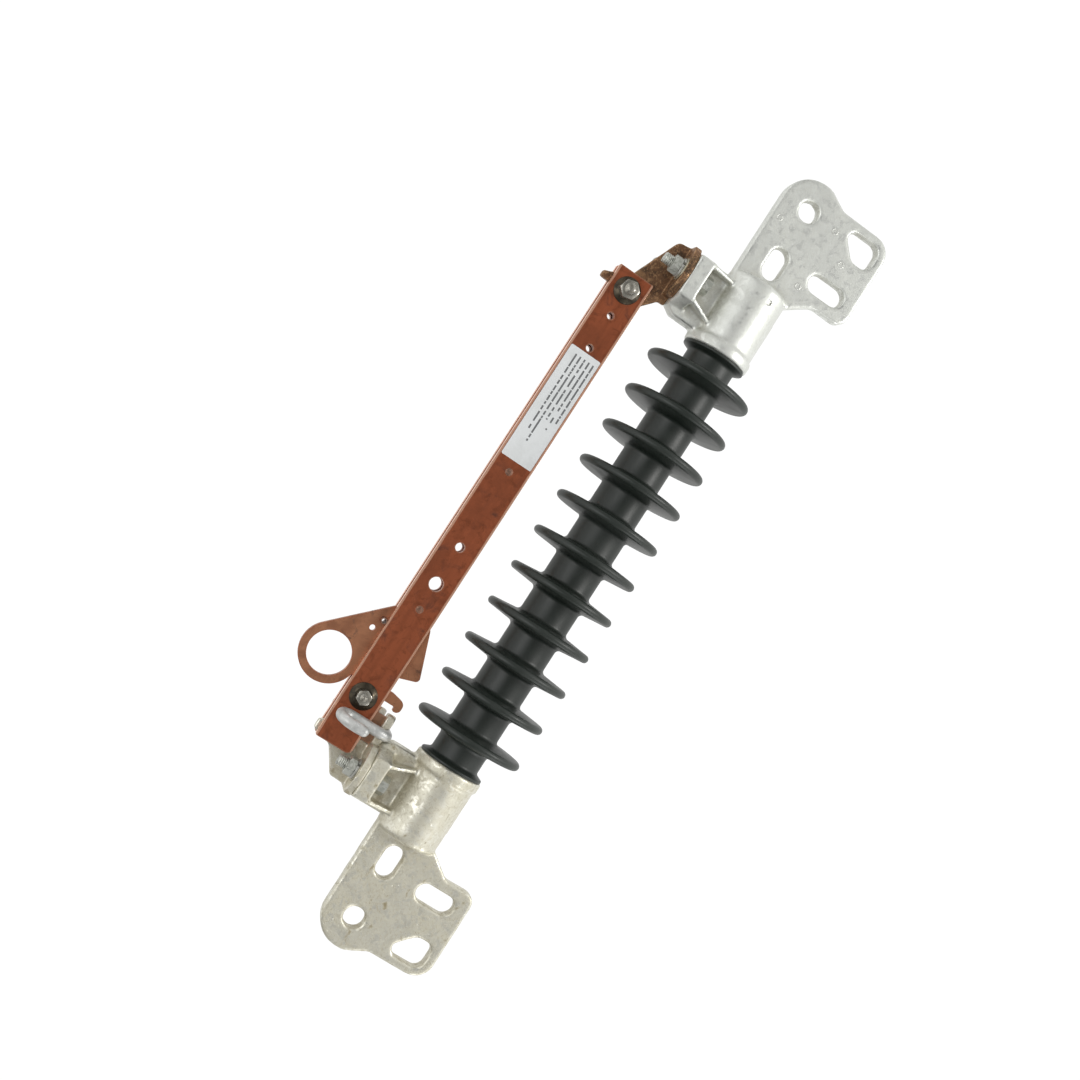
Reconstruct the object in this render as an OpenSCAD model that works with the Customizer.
// In-line tension disconnect switch with a hook-stick operated double-bar blade.
//
// A ribbed polymer insulator carries a cast dead-end fitting on each end. Each fitting has a
// flat tongue for the line hardware and a boss that holds a contact casting. A blade of two
// parallel bars hangs under the insulator. It turns on the hinge casting and closes over a
// contact in the jaw casting, where a pull-ring latch holds it.
//
// Frame: +X from the hinge end to the jaw end along the insulator, +Z up, the blade below.
// The origin lies on the back face of the hinge-end tongue, on the insulator's axis, midway
// between the tongue's round hole and its slot.

/* [Insulator] */
// Length of the housing that shows between the two end fittings
housing_len = 389; // [310:1:480]
// Number of sheds
shed_count = 11; // [6:1:13]
// Radius of the sheds
shed_r = 47; // [38:0.5:57]
// Radius of the shank between the sheds
shank_r = 21.4; // [16:0.1:23]
// Thickness of a shed at its rounded rim
shed_rim_t = 6.8; // [5:0.1:8.2]
// Thickness of a shed where it meets the shank
shed_root_t = 10.8; // [9:0.1:13]
// Distance from the hinge-end fitting to the first shed's middle
first_shed = 24.5; // [20:0.5:30]
// Distance from the last shed's middle to the jaw-end fitting
last_shed = 27.1; // [20:0.1:32]

/* [End fittings] */
// Length of the barrel that grips the insulator
barrel_len = 70.5; // [68:0.5:88]
// Outside radius of the barrel
barrel_r = 26.6; // [26:0.1:32]
// How far the bead round the barrel's mouth stands out
bead_lip = 2.4; // [1.5:0.1:4]
// Length of the bead
bead_len = 8.5; // [5:0.5:12]
// Depth of the socket that holds the insulator's end
socket_depth = 34; // [20:1:42]
// Thickness of the flat tongue
tongue_t = 12; // [9:0.5:15]
// Length of the tongue beyond the barrel
tongue_len = 96; // [94:0.5:116]
// Height of the tongue's far edge above the insulator's axis
tongue_rise = 76; // [68:1:92]
// Radius of the tongue's large corner round the line-pin hole
tongue_corner_r = 26; // [22:0.5:30]
// Diameter of the line-pin hole
pin_hole_d = 17.6; // [14:0.1:21]
// Width of the two slots
slot_w = 16; // [13:0.5:18]
// Length of the slot on the axis, end to end
axis_slot_len = 28; // [22:0.5:34]
// Length of the upright slot, end to end
upright_slot_len = 34; // [26:0.5:36]

/* [Contact castings] */
// Distance of the boss's pad below the barrel's surface
pad_reach = 31.2; // [26:0.2:38]
// Thickness of the boss's lug
lug_t = 13.5; // [10:0.5:16]
// Distance of the mounting bolts from the barrel's mouth
bolt_setback = 38.5; // [36:0.5:46]
// Distance of each mounting bolt from the middle plane
bolt_y = 17.5; // [17:0.1:21]
// Diameter of the mounting bolts
mount_bolt_d = 9.5; // [8:0.1:11.5]
// Thickness of the castings' bolted flanges
flange_t = 6; // [5:0.1:9]
// Distance from the hinge bolts to the blade's pivot
hinge_reach = 37; // [33:0.5:42]
// Distance from the jaw bolts to the latch's pivot
latch_reach = 49.5; // [47:0.5:58]
// Diameter of the load-break hook's rod
rod_d = 9; // [8:0.1:12]

/* [Blade] */
// Width of each bar
bar_w = 31.75; // [26:0.25:38.5]
// Thickness of each bar
bar_t = 4.8; // [4:0.1:6]
// Gap between the two bars
bar_gap = 6.35; // [5:0.05:8]
// Length of the bars beyond the hinge pivot
bar_stub = 15; // [12:0.5:17]
// How far the bars' jaw ends flare outwards
bar_flare = 2.8; // [1:0.1:3.4]
// Diameter of the hinge pivot bolt
pivot_d = 9.5; // [8:0.1:11.5]
// Diameter of the latch pivot bolt
latch_bolt_d = 6.4; // [6:0.1:9.5]

/* [Pull-ring latch] */
// Inside radius of the pull ring
ring_hole_r = 17.75; // [15:0.25:20]
// Width of the ring's rim
ring_rim = 6.5; // [5:0.25:9]
// Gap on each side between the latch plate and the bars
latch_side_gap = 0.4; // [0.2:0.05:0.8]

/* [Hidden] */
$fn = 64;
// Curve steps of an outline's corner: one for each of these degrees
arc_step = 9;
// Overrun of a cut beyond the surface it opens
cut = 1;

// Clearances
socket_gap = 0.15;    // housing in the barrel's socket, on the radius
hole_gap = 0.4;       // mounting bolt in its clearance hole, on the radius
thread_gap = 0.04;    // nut on its bolt, on the radius
pivot_gap = 0.06;     // pivot bolt in the piece that turns on it, on the radius
contact_gap = 0.1;    // contact faces to the bars, on each side
nut_gap = 0.3;        // mounting nuts to the top edges of the bars
stud_gap = 0.8;       // mounting bolts' ends to the bars' jaw ends
head_gap = 1.3;       // mounting bolts' heads to the boss's column
hook_gap = 2.5;       // load-break hook to the bars' faces
keeper_gap = 1.6;     // latch hook's tip to the keeper
rest_gap = 0.05;      // latch's stop pin to the bars' lower edges
saddle_gap = 0.05;    // load-break hook's rod in its saddle, on the radius
rod_lug_gap = 1.2;     // load-break hook's rod to the end fitting's lug

// Levels and stations, all measured from the insulator's middle
mouth_x = housing_len / 2;
barrel_end_x = mouth_x + barrel_len;
tongue_end_x = barrel_end_x + tongue_len;
bead_r = barrel_r + bead_lip;
bolt_x = mouth_x + bolt_setback;
pin_hole_x = tongue_end_x - tongue_corner_r - 0.5;
slot_pitch = 50.8;
slot_x = pin_hole_x - slot_pitch;
upright_slot_z = 47.5;
mount_x = pin_hole_x - slot_pitch / 2;

// Mounting bolts: a hexagon head, a flat washer, a lock washer and a nut
nut_af = 1.5 * mount_bolt_d;
mount_head_h = 0.7 * mount_bolt_d;
mount_nut_h = 7;
flat_washer_t = 1;
flat_washer_r = 1.05 * mount_bolt_d;
lock_washer_t = 2;
lock_washer_r = 0.9 * mount_bolt_d;
mount_stud_out = 8;

pad_z = -(barrel_r + pad_reach);
lug_top_z = pad_z + lug_t;
flange_z = pad_z - flange_t;
nut_bottom_z = flange_z - flat_washer_t - lock_washer_t - mount_nut_h;
bar_top_z = nut_bottom_z - nut_gap;
bar_z = bar_top_z - bar_w / 2;
bar_bottom_z = bar_top_z - bar_w;
bar_inner_y = bar_gap / 2;
bar_outer_y = bar_gap / 2 + bar_t;
web_t = bar_gap - 2 * contact_gap;

pivot_x = -(bolt_x - hinge_reach);
latch_x = bolt_x - latch_reach;
blade_start_x = pivot_x - bar_stub;
blade_end_x = bolt_x - mount_bolt_d / 2 - stud_gap;
flare_x = blade_end_x - 24;

// Boss plan: half widths along X at the middle plane and at the lug's front
boss_in = 32;
boss_out = 21.5;
lug_half = 17.6;
lug_depth = bolt_y + 8.7;
column_t = 2 * (bolt_y - nut_af / 2 - head_gap);
gusset_t = 3.6;
gusset_lean = 16;
flange_r = lug_depth + 0.6;

// Rubber end collar that seals each barrel's mouth
collar_r = bead_r - 1.4;
collar_t = 2.6;
collar_slope = 4;

// Load-break hook: a rod bent over the jaw casting's arm, with a hairpin on each side
rod_r = rod_d / 2;
rod_x = latch_x + 16.8;
rod_z = pad_z + 0.2;
rod_leg_y = bar_outer_y + hook_gap + rod_r;
lug_in = bolt_x - rod_x - rod_r - rod_lug_gap;
rod_bend_r = 8;
hairpin_r = 10;
hairpin_turn = 8;
hairpin_z = bar_bottom_z + 16.5;
hairpin_rise = 10;

// Jaw casting's arm and contact
arm_start_x = latch_x + 1.5;
arm_t = flange_t + 0.9;
arm_half = 7;
arm_z = pad_z - arm_t;
contact_start_x = latch_x + 5;
contact_split_x = latch_x + 30;
contact_clear_x = latch_x + 15.8;
keeper_x = latch_x + 0.2;
keeper_top_z = bar_top_z + 7.2;
keeper_t = 6;

// Latch plate
latch_t = bar_gap - 2 * latch_side_gap;
ring_r = ring_hole_r + ring_rim;
ring_x = latch_x - 14.3;
ring_z = bar_bottom_z - ring_r - 0.2;
latch_hub_r = 12.5;
hook_right_x = keeper_x - keeper_gap;
hook_tip_z = keeper_top_z + 3;
stop_pin_r = 2.7;
stop_pin_x = latch_x - 57.9;
stop_pin_z = bar_bottom_z - stop_pin_r - rest_gap;

// Pivot hardware on the bars' outer faces
spring_washer_r = 11.2;
spring_washer_t = 2.4;
pivot_nut_af = 1.5 * pivot_d;
pivot_nut_h = 8.3;
pivot_stud_out = 5.5;
latch_nut_af = 1.74 * latch_bolt_d;
latch_nut_h = 6.4;
latch_stud_out = 2.4;

// Rivets that space the bars, and open holes on the bars' centre line [x, diameter]
rivet_d = 5;
rivet_spacer_r = 5;
rivet_head_t = 0.7;
rivet_hinge_x = pivot_x + 0.451 * (latch_x - pivot_x);
rivet_jaw_x = latch_x - 80;
open_holes = [[pivot_x + 24, 5.8], [pivot_x + 54.5, 6], [latch_x - 137.8, 7.5], [latch_x - 103.7, 11.6]];
label_len = 102.5;
label_w = 27.8;
label_t = 0.2;
label_x = pivot_x + 110.5;

// ---- helpers ----------------------------------------------------------------------

function unit(v) = v / norm(v);

// One corner b between a and c as an arc of radius r that is tangent to both edges
function corner_arc(a, b, c, r) =
    r == 0 ? [b] :
    let (u = unit(a - b), v = unit(c - b),
         half = acos(u * v) / 2,
         centre = b + unit(u + v) * r / sin(half),
         start = b + u * r / tan(half) - centre,
         from = atan2(start[1], start[0]),
         turn = (u[0] * v[1] - u[1] * v[0] > 0 ? -1 : 1) * (180 - 2 * half),
         steps = max(2, ceil(abs(turn) / arc_step)))
    [for (i = [0:steps]) centre + r * [cos(from + turn * i / steps), sin(from + turn * i / steps)]];

// Closed outline through points [x, y, r], each corner rounded by its own r
function rounded(pts) =
    let (n = len(pts), at = [for (p = pts) [p[0], p[1]]])
    [for (i = [0:n - 1]) each corner_arc(at[(i + n - 1) % n], at[i], at[(i + 1) % n], pts[i][2])];

// Moves the switch's middle frame to the part's frame
module in_frame() translate([mount_x, -tongue_t / 2, 0]) children();

// An outline drawn in X and Z, made t thick about the middle plane
module plate(t) rotate([90, 0, 0]) linear_extrude(t, center = true) children();

// A round bar along Y about the middle plane
module cross_bar(r, len) rotate([90, 0, 0]) cylinder(r = r, h = len, center = true);

module ring(r, bore, t) difference() {
    cylinder(r = r, h = t);
    translate([0, 0, -cut]) cylinder(r = bore, h = t + 2 * cut);
}

module hex_nut(af, h, bore) difference() {
    cylinder(d = af / cos(30), h = h, $fn = 6);
    translate([0, 0, -cut]) cylinder(r = bore, h = h + 2 * cut);
}

// Spring washer: a shallow dished disc, its small end up
module spring_washer(bore) difference() {
    union() {
        cylinder(r = spring_washer_r, h = spring_washer_t / 3);
        translate([0, 0, spring_washer_t / 3])
            cylinder(r1 = spring_washer_r, r2 = spring_washer_r * 0.68, h = spring_washer_t * 2 / 3);
    }
    translate([0, 0, -cut]) cylinder(r = bore, h = spring_washer_t + 2 * cut);
}

// ---- insulator --------------------------------------------------------------------

// One shed's profile as [radius, station] from its hinge side to its jaw side
function shed_profile(x) =
    let (rim = shed_rim_t / 2, root = shed_root_t / 2, fillet = 3.2)
    concat(
        [for (a = [90:-15:0]) [shank_r + fillet - fillet * sin(a), x - root - fillet + fillet * cos(a)]],
        [for (a = [90:-15:-90]) [shed_r - rim + rim * cos(a), x - rim * sin(a)]],
        [for (a = [0:15:90]) [shank_r + fillet - fillet * sin(a), x + root + fillet - fillet * cos(a)]]);

module insulator_housing() {
    pitch = (housing_len - first_shed - last_shed) / (shed_count - 1);
    end_x = mouth_x + socket_depth - 2;
    color("#3c4543") in_frame() rotate([0, 90, 0]) rotate_extrude() polygon(concat(
        [[0, -end_x], [shank_r, -end_x], [shank_r, -mouth_x], [collar_r, -mouth_x],
         [collar_r, -mouth_x + collar_t], [shank_r, -mouth_x + collar_t + collar_slope]],
        [for (i = [0:shed_count - 1]) each shed_profile(-mouth_x + first_shed + i * pitch)],
        [[shank_r, mouth_x - collar_t - collar_slope], [collar_r, mouth_x - collar_t],
         [collar_r, mouth_x], [shank_r, mouth_x], [shank_r, end_x], [0, end_x]]));
}

// ---- end fittings, drawn for the jaw end ------------------------------------------

module tongue_outline() polygon(rounded([
    [barrel_end_x - 14, -barrel_r + 1, 0],
    [barrel_end_x, -tongue_corner_r, 0],
    [tongue_end_x, -tongue_corner_r, tongue_corner_r - 0.1],
    [tongue_end_x, 7, 12],
    [tongue_end_x - 9, 25, 9],
    [tongue_end_x - 9, tongue_rise, 16],
    [barrel_end_x + 8, tongue_rise, 9],
    [barrel_end_x + 8, barrel_r + 20, 9],
    [barrel_end_x - 7.5, barrel_r - 1, 0]]));

module slot_outline(len) {
    square([len - slot_w, slot_w], center = true);
    for (s = [-1, 1]) translate([s * (len - slot_w) / 2, 0]) circle(d = slot_w);
}

// Rounded triangular opening: a large arc inside, a small one towards the line pin
module corner_opening_outline() polygon(rounded([
    [slot_x + 38.6, upright_slot_z + 5, 8],
    [slot_x + 38.6, upright_slot_z + 20.7, 8],
    [slot_x + 61.8, upright_slot_z + 20.7, 9],
    [slot_x + 61.3, upright_slot_z - 5, 6],
    [slot_x + 54, upright_slot_z - 10, 4.5]]));

module boss() {
    // lug with the pad underneath
    translate([bolt_x, 0, pad_z]) linear_extrude(lug_t) polygon(rounded([
        [-lug_in, -4, 3], [-lug_half, -lug_depth, 3], [lug_half, -lug_depth, 3], [boss_out, -4, 3],
        [boss_out, 4, 3], [lug_half, lug_depth, 3], [-lug_half, lug_depth, 3], [-lug_in, 4, 3]]));
    // column up to the barrel, its inner edge cut back so that the load-break hook clears it
    translate([bolt_x, 0, pad_z]) plate(column_t) polygon([
        [0.6 - lug_in, 1], [0.6 - boss_in, 9], [0.6 - boss_in, pad_reach + barrel_r / 2],
        [boss_out - 0.6, pad_reach + barrel_r / 2], [boss_out - 0.6, 1]]);
    // gussets on both sides, the inner ones leaning towards the insulator
    for (s = [-1, 1]) scale([1, s, 1]) {
        translate([bolt_x + lug_half - gusset_t, 0, lug_top_z]) gusset();
        translate([bolt_x - lug_half, 0, lug_top_z]) rotate([0, -gusset_lean, 0]) gusset();
    }
}

module gusset() {
    rise = pad_reach - lug_t + 5;
    rotate([90, 0, 90]) linear_extrude(gusset_t)
        polygon([[column_t / 2 - 1, -3], [lug_depth - 1.5, -3], [lug_depth - 1.5, 0],
                 [lug_depth - 11, rise], [column_t / 2 - 1, rise]]);
}

module barrel() rotate([0, 90, 0]) rotate_extrude() polygon(rounded([
    [0, barrel_end_x - 1, 0], [0, mouth_x, 0], [bead_r, mouth_x, 1.6], [bead_r, mouth_x + bead_len, 2],
    [barrel_r, mouth_x + bead_len + 1.5, 1.4], [barrel_r, barrel_end_x - 3, 5],
    [barrel_r - 11, barrel_end_x - 1, 2]]));

module end_fitting() difference() {
    union() {
        barrel();
        plate(tongue_t) tongue_outline();
        boss();
        // parting line along the top of the barrel
        translate([mouth_x + bead_len, -1.2, barrel_r - 1]) cube([40, 2.4, 2.2]);
    }
    // socket for the insulator
    translate([mouth_x - cut, 0, 0]) rotate([0, 90, 0])
        cylinder(r = shank_r + socket_gap, h = socket_depth + cut);
    // line-pin hole, slots and corner opening
    translate([pin_hole_x, 0, 0]) cross_bar(pin_hole_d / 2, tongue_t + 2 * cut);
    plate(tongue_t + 2 * cut) {
        translate([slot_x, 0]) slot_outline(axis_slot_len);
        translate([slot_x + 6.8, upright_slot_z]) rotate(90) slot_outline(upright_slot_len);
        corner_opening_outline();
    }
    for (s = [-1, 1]) translate([bolt_x, s * bolt_y, pad_z - cut])
        cylinder(r = mount_bolt_d / 2 + hole_gap, h = lug_t + 2 * cut);
}

module jaw_end_fitting() color("#c9cac3") in_frame() end_fitting();

module hinge_end_fitting() color("#c9cac3") in_frame() mirror([1, 0, 0]) end_fitting();

// ---- contact castings -------------------------------------------------------------

// Bolted flange: a disc with two flats, its bolt holes on the cross line
module flange_body(flat_in, flat_out) translate([0, 0, flange_z]) intersection() {
    cylinder(r = flange_r, h = flange_t);
    translate([-flat_in, -flange_r, 0]) cube([flat_in + flat_out, 2 * flange_r, flange_t]);
}

module flange_holes() for (s = [-1, 1]) translate([0, s * bolt_y, flange_z - cut])
    cylinder(r = mount_bolt_d / 2 + hole_gap, h = flange_t + 2 * cut);

// Web of the hinge casting with its stop nose under the blade
module hinge_web_outline() polygon(rounded([
    [-bolt_x - 22, flange_z + 1, 0],
    [-bolt_x - 20.5, flange_z - 11, 5],
    [pivot_x - 13.5, bar_z - 3, 6],
    [pivot_x - 8.5, bar_bottom_z + 2, 3],
    [pivot_x - 4.3, bar_bottom_z - 8, 1.5],
    [pivot_x + 0.8, bar_bottom_z - 8, 1.2],
    [pivot_x + 1.4, bar_bottom_z + 3, 2],
    [pivot_x + 14, bar_z - 6, 8],
    [pivot_x + 11, bar_z + 10, 6],
    [pivot_x - 8.6, flange_z + 0.5, 4],
    [pivot_x - 8.6, flange_z + flange_t - 0.1, 0],
    [-bolt_x - 15, flange_z + flange_t - 0.1, 0],
    [-bolt_x - 22, flange_z + 1.2, 0]]));

module hinge_casting() color("#8a6a4a") in_frame() difference() {
    union() {
        translate([-bolt_x, 0, 0]) flange_body(22.5, 22);
        plate(web_t) hinge_web_outline();
    }
    translate([-bolt_x, 0, 0]) flange_holes();
    translate([pivot_x, 0, bar_z]) cross_bar(pivot_d / 2 + pivot_gap, web_t + 2 * cut);
}

module jaw_web_outline() polygon(rounded([
    [contact_split_x, flange_z + 1, 0],
    [contact_split_x, bar_bottom_z + 4, 1.5],
    [contact_split_x + 3, bar_bottom_z - 3, 1.5],
    [contact_split_x + 11, bar_bottom_z - 3, 2.5],
    [bolt_x - 3.5, bar_z - 1.5, 6],
    [bolt_x + 16.5, flange_z - 14, 3],
    [bolt_x + 17.5, flange_z + 1, 0]]));

module jaw_casting() color("#c2bfae") in_frame() difference() {
    union() {
        translate([bolt_x, 0, 0]) flange_body(22, 20);
        plate(web_t) jaw_web_outline();
        // arm towards the insulator, with a rounded end
        translate([0, 0, arm_z]) linear_extrude(arm_t) polygon(rounded([
            [arm_start_x, -arm_half, 5], [bolt_x - 10, -arm_half, 0],
            [bolt_x - 10, arm_half, 0], [arm_start_x, arm_half, 5]]));
    }
    translate([bolt_x, 0, 0]) flange_holes();
    // saddle for the load-break hook
    translate([rod_x, 0, rod_z]) cross_bar(rod_r + saddle_gap, 2 * arm_half + 2 * cut);
}

module jaw_contact() color("#9a5b40") in_frame() plate(web_t) polygon(rounded([
    [contact_start_x, arm_z, 0],
    [contact_start_x, bar_top_z - 1.6, 1],
    [contact_clear_x, bar_top_z - 1.6, 0],
    [contact_clear_x, bar_bottom_z + 6, 3],
    [contact_split_x, bar_bottom_z + 3, 0],
    [contact_split_x, arm_z, 0]]));

module latch_keeper() color("#b5b09c") in_frame() plate(web_t) polygon(rounded([
    [contact_start_x, keeper_top_z - keeper_t, 0],
    [contact_start_x, keeper_top_z, 0],
    [keeper_x, keeper_top_z, 1.6],
    [keeper_x, keeper_top_z - keeper_t, 1.6]]));

// ---- load-break hook --------------------------------------------------------------

// Stations [x, y, z, radius] of the rod's front half, from the middle plane to its round tip:
// across the arm, down in front of the bar, and round a hairpin that is turned outwards
hook_front_half = let (out = [sin(hairpin_turn), -cos(hairpin_turn)])
    concat(
        [[rod_x, 0, rod_z, rod_r]],
        [for (a = [0:18:90])
            [rod_x, -rod_leg_y + rod_bend_r * (1 - sin(a)), rod_z - rod_bend_r * (1 - cos(a)), rod_r]],
        [for (a = [0:15:180]) let (d = hairpin_r * (1 - cos(a)))
            [rod_x + d * out[0], -rod_leg_y + d * out[1], hairpin_z - hairpin_r * sin(a), rod_r]],
        [for (a = [0:15:75])
            [rod_x + 2 * hairpin_r * out[0], -rod_leg_y + 2 * hairpin_r * out[1],
             hairpin_z + hairpin_rise + rod_r * sin(a), rod_r * cos(a)]]);

hook_back_half = [for (i = [len(hook_front_half) - 1:-1:1])
    let (p = hook_front_half[i]) [p[0], -p[1], p[2], p[3]]];

function xyz(p) = [p[0], p[1], p[2]];

// A solid swept along stations [x, y, z, radius], none of whose steps runs along X
module swept_rod(path, sides) {
    n = len(path);
    points = [for (i = [0:n - 1])
        let (t = unit(xyz(path[min(i + 1, n - 1)]) - xyz(path[max(i - 1, 0)])),
             u = unit([1, 0, 0] - t * t[0]), v = cross(t, u))
        for (k = [0:sides - 1])
            xyz(path[i]) + path[i][3] * (cos(360 * k / sides) * u + sin(360 * k / sides) * v)];
    walls = [for (i = [0:n - 2], k = [0:sides - 1])
        let (next = (k + 1) % sides)
        [i * sides + k, (i + 1) * sides + k, (i + 1) * sides + next, i * sides + next]];
    caps = [[for (k = [0:sides - 1]) k], [for (k = [sides - 1:-1:0]) (n - 1) * sides + k]];
    polyhedron(points, concat(walls, caps));
}

module load_break_hook() color("#b9bcb8") in_frame()
    swept_rod(concat(hook_back_half, hook_front_half), 20);

// ---- mounting hardware ------------------------------------------------------------

// Places a fastener's own frame at a bolt: end -1 hinge, 1 jaw; side -1 front, 1 back
module at_bolt(end, side, z) in_frame() translate([end * bolt_x, side * bolt_y, z]) children();

module mount_bolt(end, side) color("#9a9d98") at_bolt(end, side, 0) {
    shank = lug_top_z - nut_bottom_z + mount_stud_out;
    translate([0, 0, lug_top_z]) cylinder(d = nut_af / cos(30), h = mount_head_h, $fn = 6);
    translate([0, 0, nut_bottom_z - mount_stud_out + 1]) cylinder(d = mount_bolt_d, h = shank);
    translate([0, 0, nut_bottom_z - mount_stud_out])
        cylinder(d1 = mount_bolt_d - 2, d2 = mount_bolt_d, h = 1);
}

module mount_flat_washer(end, side) color("#a8a48f") at_bolt(end, side, flange_z - flat_washer_t)
    ring(flat_washer_r, mount_bolt_d / 2 + thread_gap, flat_washer_t);

module mount_lock_washer(end, side) color("#8f938f")
    at_bolt(end, side, flange_z - flat_washer_t - lock_washer_t)
    ring(lock_washer_r, mount_bolt_d / 2 + thread_gap, lock_washer_t);

module mount_nut(end, side) color("#8b918c") at_bolt(end, side, nut_bottom_z)
    hex_nut(nut_af, mount_nut_h, mount_bolt_d / 2 + thread_gap);

// ---- blade ------------------------------------------------------------------------

// The bar's shape seen from above, flared at its jaw end, on the -Y side
module bar_plan() polygon([
    [blade_start_x, -bar_inner_y], [blade_start_x, -bar_outer_y], [flare_x, -bar_outer_y],
    [blade_end_x, -bar_outer_y - bar_flare], [blade_end_x, -bar_inner_y - bar_flare],
    [flare_x, -bar_inner_y]]);

// The bar's shape seen from the front
module bar_face() polygon(rounded([
    [blade_start_x, bar_bottom_z, 1], [blade_end_x, bar_bottom_z, 1.5],
    [blade_end_x, bar_top_z, 5], [blade_start_x, bar_top_z, 1]]));

module blade_bar() difference() {
    intersection() {
        translate([0, 0, bar_bottom_z - cut]) linear_extrude(bar_w + 2 * cut) bar_plan();
        plate(4 * (bar_outer_y + bar_flare)) bar_face();
    }
    translate([pivot_x, 0, bar_z]) cross_bar(pivot_d / 2 + thread_gap, 4 * bar_outer_y);
    translate([latch_x, 0, bar_z]) cross_bar(latch_bolt_d / 2 + thread_gap, 4 * bar_outer_y);
    for (x = [rivet_hinge_x, rivet_jaw_x]) translate([x, 0, bar_z])
        cross_bar(rivet_d / 2 + thread_gap, 4 * bar_outer_y);
    for (h = open_holes) translate([h[0], 0, bar_z]) cross_bar(h[1] / 2, 4 * bar_outer_y);
}

module blade_bar_front() color("#8c523b") in_frame() blade_bar();

module blade_bar_back() color("#8c523b") in_frame() mirror([0, 1, 0]) blade_bar();

// Rivet with a spacer between the bars and a low head on each outer face
module blade_rivet(x) color("#8a5a46") in_frame() translate([x, 0, bar_z]) {
    cross_bar(rivet_spacer_r, bar_gap);
    cross_bar(rivet_d / 2, 2 * bar_outer_y);
    for (s = [-1, 1]) translate([0, s * (bar_outer_y + rivet_head_t / 2), 0])
        cross_bar(rivet_d / 2 + 0.5, rivet_head_t);
}

module rating_label() color("#e8eaeb") in_frame()
    translate([label_x - label_len / 2, -bar_outer_y - label_t, bar_z - label_w / 2])
    cube([label_len, label_t, label_w]);

// Moves a fastener's own frame to a cross bolt's axis, side -1 front, 1 back, on the bar
module on_bar(x, side) in_frame() translate([x, side * bar_outer_y, bar_z])
    rotate([-90 * side, 0, 0]) children();

// Cross bolt: head behind the back washer, rounded stud end past the front nut
module cross_bolt(x, d, af, nut_h, stud_out) {
    stack = bar_outer_y + spring_washer_t;
    front = stack + nut_h + stud_out;
    in_frame() translate([x, 0, bar_z]) rotate([90, 0, 0]) {
        translate([0, 0, -stack]) cylinder(d = d, h = stack + front - 1.5);
        translate([0, 0, front - 1.5]) cylinder(d1 = d, d2 = d - 3, h = 1.5);
        translate([0, 0, -stack - nut_h * 0.75]) cylinder(d = af / cos(30), h = nut_h * 0.75, $fn = 6);
    }
}

module pivot_bolt() color("#8f8f86") cross_bolt(pivot_x, pivot_d, pivot_nut_af, pivot_nut_h, pivot_stud_out);

module latch_bolt() color("#8f8f86")
    cross_bolt(latch_x, latch_bolt_d, latch_nut_af, latch_nut_h, latch_stud_out);

module pivot_spring_washer(side) color("#55524a") on_bar(pivot_x, side)
    spring_washer(pivot_d / 2 + thread_gap);

module latch_spring_washer(side) color("#55524a") on_bar(latch_x, side)
    spring_washer(latch_bolt_d / 2 + thread_gap);

module pivot_nut() color("#8f8f86") on_bar(pivot_x, -1) translate([0, 0, spring_washer_t])
    hex_nut(pivot_nut_af, pivot_nut_h, pivot_d / 2 + thread_gap);

module latch_nut() color("#8f8f86") on_bar(latch_x, -1) translate([0, 0, spring_washer_t])
    hex_nut(latch_nut_af, latch_nut_h, latch_bolt_d / 2 + thread_gap);

// ---- pull-ring latch --------------------------------------------------------------

// Body between the bars, with the hook that reaches over the keeper and the pointed tail on
// its upper edge, and the wedge that runs down to the ring
module latch_outline() polygon(rounded([
    [latch_x - 2, bar_z - 8, 0],
    [latch_x - 2, bar_z + 8, 0],
    [hook_right_x - 3.6, bar_z + 10.5, 0],
    [hook_right_x - 3.6, hook_tip_z, 1.5],
    [hook_right_x, hook_tip_z, 1],
    [hook_right_x, hook_tip_z + 5.9, 4],
    [hook_right_x - 9.8, hook_tip_z + 5.9, 5],
    [hook_right_x - 12.4, bar_top_z + 4, 4],
    [hook_right_x - 12.4, bar_top_z - 2, 3],
    [latch_x - 25, bar_top_z - 2, 3],
    [latch_x - 31.2, bar_top_z + 16.5, 3.5],
    [latch_x - 73, bar_top_z + 0.5, 6],
    [latch_x - 73, bar_bottom_z, 5],
    [ring_x - ring_r * sin(45), ring_z - ring_r * cos(45), 0],
    [ring_x + 4, ring_z, 0],
    [latch_x - 9, bar_bottom_z + 1.5, 0]]));

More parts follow.
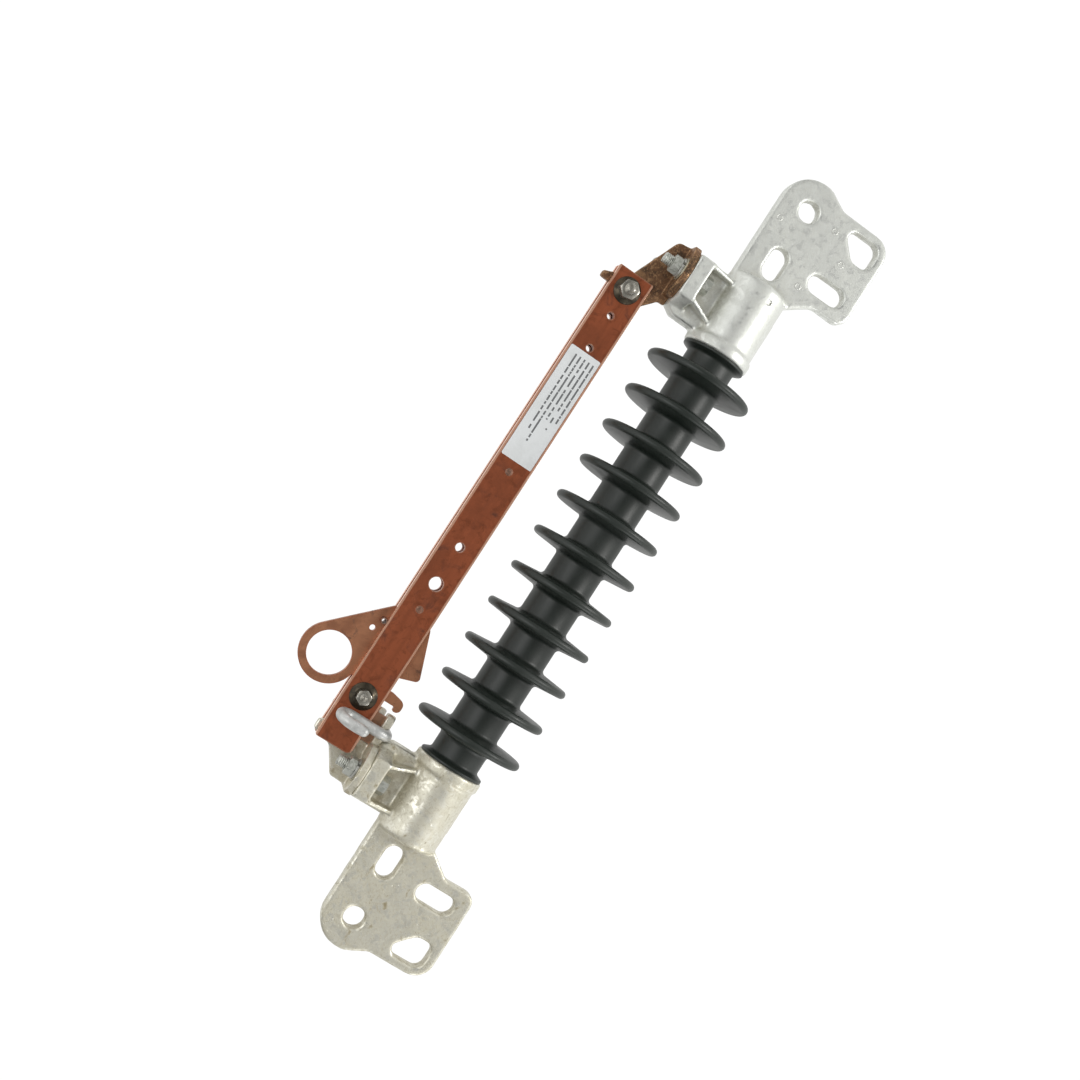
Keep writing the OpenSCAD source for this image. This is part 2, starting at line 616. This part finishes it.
module pull_ring_plate() color("#a87a5e") in_frame() plate(latch_t) difference() {
    union() {
        translate([ring_x, ring_z]) circle(r = ring_r);
        translate([latch_x, bar_z]) circle(r = latch_hub_r);
        latch_outline();
    }
    translate([ring_x, ring_z]) circle(r = ring_hole_r);
    translate([latch_x, bar_z]) circle(r = latch_bolt_d / 2 + pivot_gap);
    translate([stop_pin_x, stop_pin_z]) circle(r = stop_pin_r + thread_gap);
    translate([latch_x - 48.5, bar_bottom_z - 6.8]) circle(r = 2.4);
}

// Spring pin across the plate that rests against the bars' lower edges
module latch_stop_pin() color("#8a7f6c") in_frame() translate([stop_pin_x, 0, stop_pin_z])
    cross_bar(stop_pin_r, 2 * bar_outer_y + 1);

// ---- nodes ------------------------------------------------------------------------

insulator_housing();
hinge_end_fitting();
jaw_end_fitting();
hinge_casting();
jaw_casting();
jaw_contact();
latch_keeper();
load_break_hook();
mount_bolt(-1, -1);  // hinge_mount_bolt_front
mount_bolt(-1, 1);  // hinge_mount_bolt_back
mount_bolt(1, -1);  // jaw_mount_bolt_front
mount_bolt(1, 1);  // jaw_mount_bolt_back
mount_flat_washer(-1, -1);  // hinge_flat_washer_front
mount_flat_washer(-1, 1);  // hinge_flat_washer_back
mount_flat_washer(1, -1);  // jaw_flat_washer_front
mount_flat_washer(1, 1);  // jaw_flat_washer_back
mount_lock_washer(-1, -1);  // hinge_lock_washer_front
mount_lock_washer(-1, 1);  // hinge_lock_washer_back
mount_lock_washer(1, -1);  // jaw_lock_washer_front
mount_lock_washer(1, 1);  // jaw_lock_washer_back
mount_nut(-1, -1);  // hinge_mount_nut_front
mount_nut(-1, 1);  // hinge_mount_nut_back
mount_nut(1, -1);  // jaw_mount_nut_front
mount_nut(1, 1);  // jaw_mount_nut_back
blade_bar_front();
blade_bar_back();
blade_rivet(rivet_hinge_x);  // blade_rivet_hinge_side
blade_rivet(rivet_jaw_x);  // blade_rivet_jaw_side
rating_label();
pivot_bolt();
pivot_spring_washer(-1);  // pivot_spring_washer_front
pivot_spring_washer(1);  // pivot_spring_washer_back
pivot_nut();
latch_bolt();
latch_spring_washer(-1);  // latch_spring_washer_front
latch_spring_washer(1);  // latch_spring_washer_back
latch_nut();
pull_ring_plate();
latch_stop_pin();
